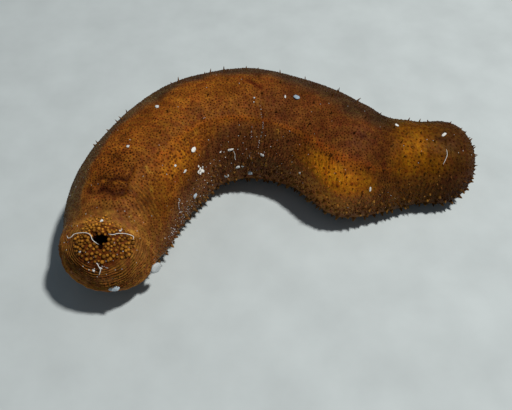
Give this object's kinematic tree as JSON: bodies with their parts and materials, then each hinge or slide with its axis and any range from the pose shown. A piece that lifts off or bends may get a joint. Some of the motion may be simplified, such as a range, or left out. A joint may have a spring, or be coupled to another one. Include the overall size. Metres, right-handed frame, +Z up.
{
  "type": "sea cucumber",
  "caption": "Life-size sea cucumber resting on its flat sole in a bent pose: stout brown body with fine pointed papillae, open vent on the raised rear end, mouth under the front.",
  "frame": {"origin": "the middle of the sole at mid-body, on the floor that the animal rests on", "axes": "+X along the animal's overall length towards its front end, +Y towards the outside of its bend, +Z up from the floor"},
  "size_m": [0.2463, 0.1598, 0.0641],
  "materials": {
    "rear_skin": "moist brown skin with golden tubercles round the vent and fine rings of wrinkles below it",
    "body_skin": "moist orange-brown skin, golden where it is stretched and dark where it is drawn in, with small dark brown papillae",
    "tentacles": "soft dark brown tentacles with lobed heads",
    "shell_grit": "small white chips of shell and coral sand, with a few fine white threads, stuck to the skin"
  },
  "bodies": {
    "root": {"vent_end": "rear_skin", "hind_body": "body_skin", "mid_body": "body_skin", "fore_body": "body_skin", "mouth_end": "body_skin", "mouth_tentacles": "tentacles"}
  },
  "joints": []
}
